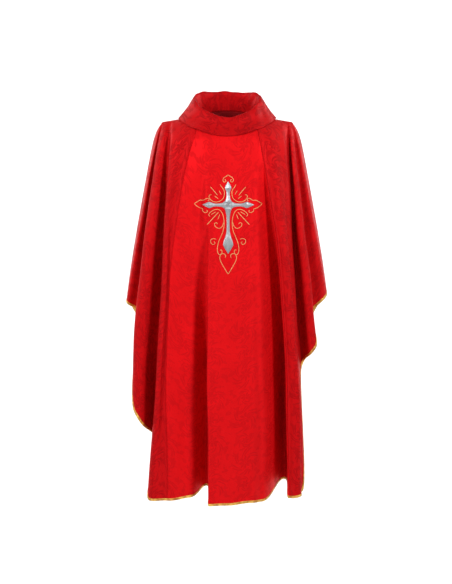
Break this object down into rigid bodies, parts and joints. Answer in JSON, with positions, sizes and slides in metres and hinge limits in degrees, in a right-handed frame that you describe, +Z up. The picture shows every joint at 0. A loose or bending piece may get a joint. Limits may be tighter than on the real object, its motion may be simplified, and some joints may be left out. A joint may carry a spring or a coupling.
{
  "type": "chasuble",
  "caption": "Full red damask chasuble with a rolled collar, an embroidered cross on the chest and a gold satin bound hem.",
  "frame": {"origin": "middle of the shoulder line, between the two shoulder seams, where the wearer's shoulders carry the garment", "axes": "+Z up, -Y towards the front with the embroidered cross, +X towards the viewer's right when the front is looked at"},
  "size_m": [0.697, 0.3773, 1.3972],
  "materials": {
    "damask": "red figured damask, satin ground with matt flower scrolls",
    "damask_inside": "wrong side of the red damask, matt",
    "gold_satin": "golden yellow satin bias strip",
    "silver_thread": "metallised silver embroidery thread in satin stitch",
    "gold_thread": "metallised gold embroidery cord",
    "interlining": "stiff natural canvas interlining"
  },
  "bodies": {
    "root": {"front_left_panel": "damask", "front_centre_panel": "damask", "front_right_panel": "damask", "back_left_panel": "damask", "back_centre_panel": "damask", "back_right_panel": "damask", "front_seam_allowance_left": "damask_inside", "front_seam_allowance_right": "damask_inside", "front_arm_allowance_left": "damask_inside", "front_arm_allowance_right": "damask_inside", "front_neck_facing": "damask_inside", "front_hem_binding": "gold_satin", "back_seam_allowance_left": "damask_inside", "back_seam_allowance_right": "damask_inside", "back_arm_allowance_left": "damask_inside", "back_arm_allowance_right": "damask_inside", "back_neck_facing": "damask_inside", "back_hem_binding": "gold_satin", "shoulder_tape_left": "damask_inside", "shoulder_tape_right": "damask_inside", "collar_upper": "damask", "collar_interlining": "interlining", "collar_under": "damask_inside", "silver_arm_upper": "silver_thread", "silver_arm_left": "silver_thread", "silver_arm_right": "silver_thread", "silver_arm_lower": "silver_thread", "silver_cross_boss": "silver_thread", "gold_cap_upper": "gold_thread", "gold_cap_left": "gold_thread", "gold_arc_upper_left": "gold_thread", "gold_ray_upper_left_high": "gold_thread", "gold_ray_upper_left_low": "gold_thread", "gold_arc_lower_left": "gold_thread", "gold_ray_lower_left_high": "gold_thread", "gold_ray_lower_left_low": "gold_thread", "gold_scroll_left": "gold_thread", "gold_point_left": "gold_thread", "gold_cap_right": "gold_thread", "gold_arc_upper_right": "gold_thread", "gold_ray_upper_right_high": "gold_thread", "gold_ray_upper_right_low": "gold_thread", "gold_arc_lower_right": "gold_thread", "gold_ray_lower_right_high": "gold_thread", "gold_ray_lower_right_low": "gold_thread", "gold_scroll_right": "gold_thread", "gold_point_right": "gold_thread"}
  },
  "joints": []
}
